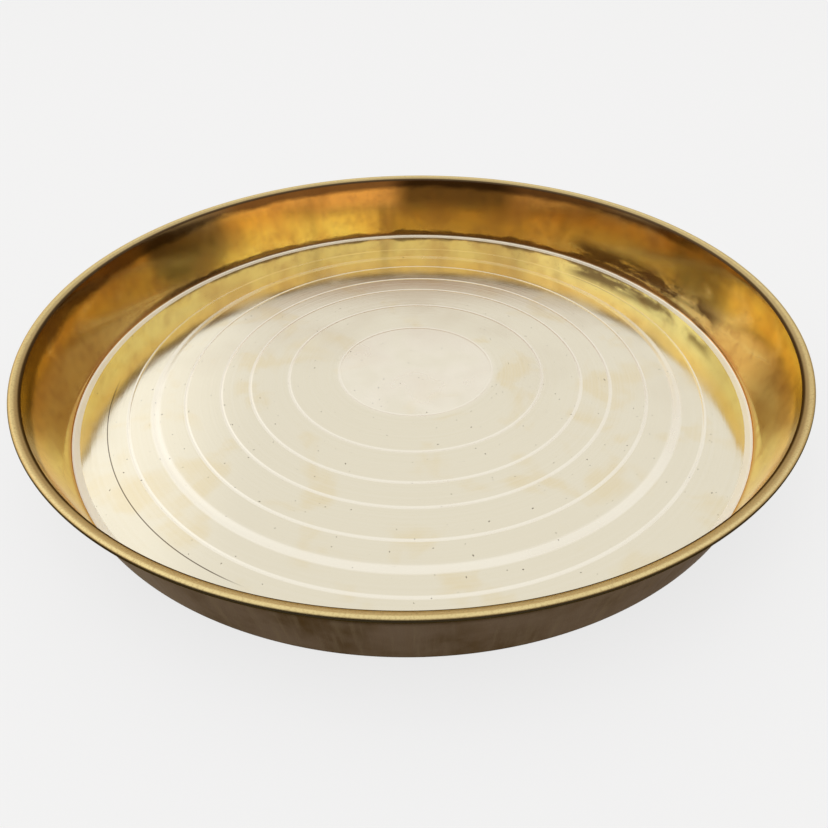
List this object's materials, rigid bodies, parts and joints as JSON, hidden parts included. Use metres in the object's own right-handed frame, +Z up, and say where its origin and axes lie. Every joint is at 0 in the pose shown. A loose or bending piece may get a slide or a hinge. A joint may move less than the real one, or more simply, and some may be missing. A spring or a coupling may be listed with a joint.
{
  "type": "thali plate",
  "caption": "Round shallow metal plate with a flat floor of turned rings, a steep wall that leans outwards, and a narrow crowned lip rolled under over a thin wire.",
  "frame": {"origin": "centre of the flat base, on the plate's axis, at the level on which it stands", "axes": "+Z up along the plate's axis; +X to the right and +Y away from a person facing the plate; X and Y are alike, because the plate is round"},
  "size_m": [0.305, 0.305, 0.034],
  "materials": {
    "dish_brass": "polished and ring-turned inside, dull and browned outside",
    "rim_wire_steel": "plain drawn wire, hidden inside the rolled rim"
  },
  "bodies": {
    "root": {"dish": "dish_brass", "rim_wire": "rim_wire_steel"}
  },
  "joints": []
}
